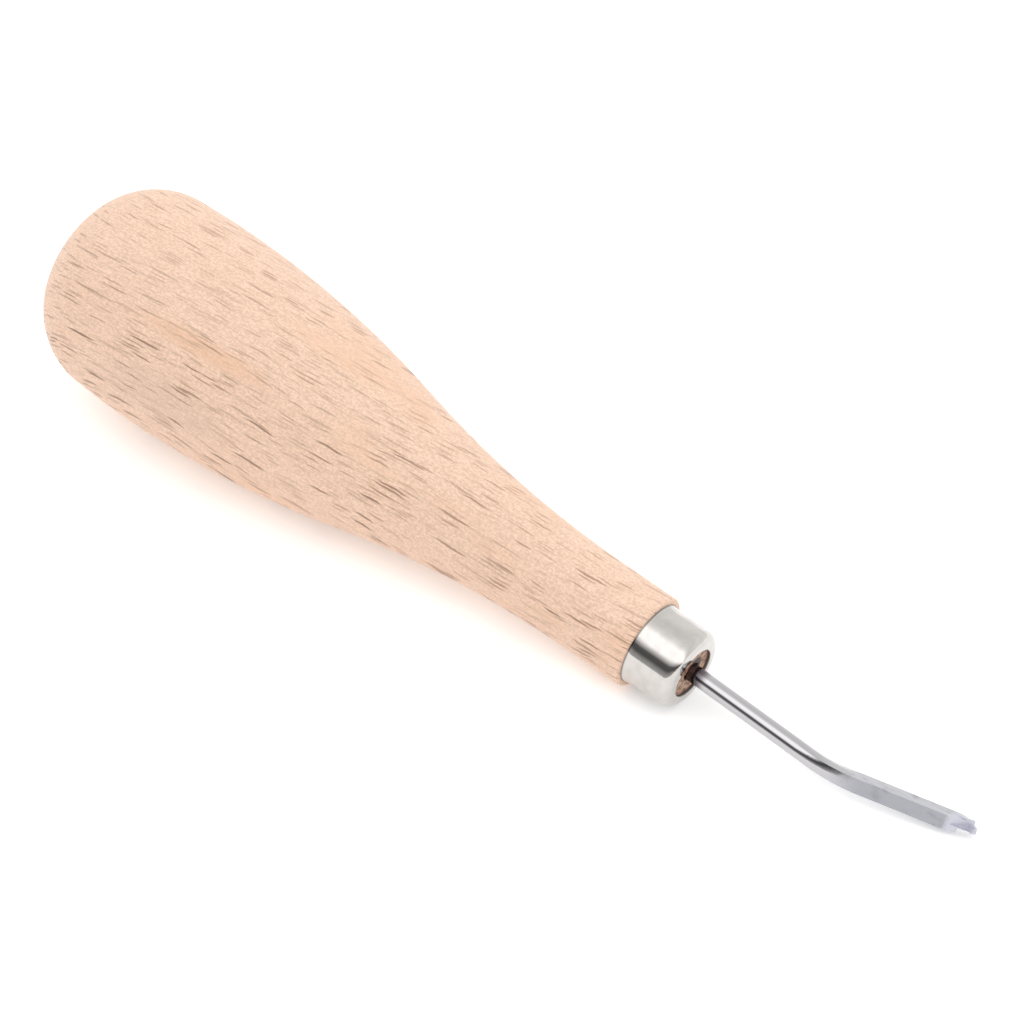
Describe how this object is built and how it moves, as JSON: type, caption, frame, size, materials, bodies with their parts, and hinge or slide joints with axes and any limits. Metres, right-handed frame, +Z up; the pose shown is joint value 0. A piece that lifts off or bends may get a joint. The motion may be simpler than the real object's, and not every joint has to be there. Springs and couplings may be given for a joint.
{
  "type": "bent leather awl",
  "caption": "Hand tool for leather with a turned wooden palm handle, a short bright metal ferrule, a round steel shank and a bent, flat-ground blade.",
  "frame": {"origin": "middle of the tool's footprint on the bench it lies on", "axes": "+X along the tool towards the tip, +Y the side the blade bends to, +Z up from the bench"},
  "size_m": [0.1652, 0.0334, 0.0352],
  "materials": {
    "turned_beech": "pale beech, turned and finely sanded, satin wax finish, browned end grain on the tenon",
    "nickel_plate": "bright nickel plate on drawn sheet",
    "tool_steel": "polished round shank, ground flats on the blade"
  },
  "bodies": {
    "root": {"handle": "turned_beech", "ferrule": "nickel_plate", "blade": "tool_steel"}
  },
  "joints": []
}
